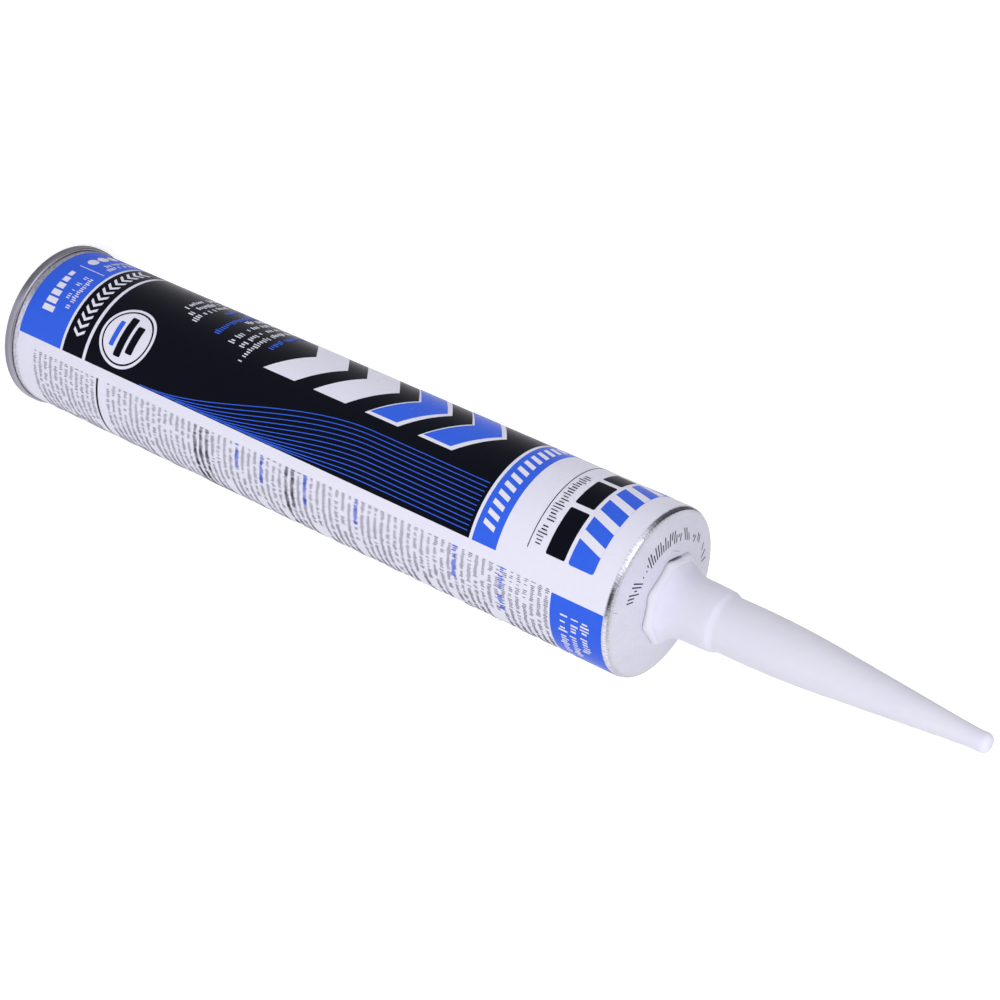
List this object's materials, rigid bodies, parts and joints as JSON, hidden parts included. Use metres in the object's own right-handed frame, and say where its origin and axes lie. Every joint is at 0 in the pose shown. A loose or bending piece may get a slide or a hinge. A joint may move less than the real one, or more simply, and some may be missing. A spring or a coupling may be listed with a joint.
{
  "type": "caulk tube",
  "caption": "Printed aluminium sealant cartridge with a rolled rear edge, a sliding piston and a long tapered plastic nozzle on its threaded neck.",
  "frame": {"origin": "middle of the rolled rear edge, in the plane that the can stands on", "axes": "+Z along the can's axis, from the rear edge towards the nozzle's tip; -Y faces the middle of the print"},
  "size_m": [0.0488, 0.0488, 0.3106],
  "materials": {
    "can": "satin, bare at the rolled edge and shoulder, printed over the wall",
    "sealant": "soft black paste",
    "piston": "moulded, matt",
    "nozzle": "translucent milky, satin"
  },
  "bodies": {
    "can": {"can": "can", "sealant": "sealant"},
    "piston": {"piston": "piston"},
    "nozzle": {"nozzle": "nozzle"}
  },
  "joints": [
    {"name": "piston_slide", "type": "slide", "parent": "can", "child": "piston", "axis": [0, 0, 1], "range_m": [0, 0.1826], "deforming": ["sealant"]},
    {"name": "nozzle_lift", "type": "slide", "parent": "can", "child": "nozzle", "axis": [0, 0, 1], "range_m": [0, 0.025]}
  ]
}
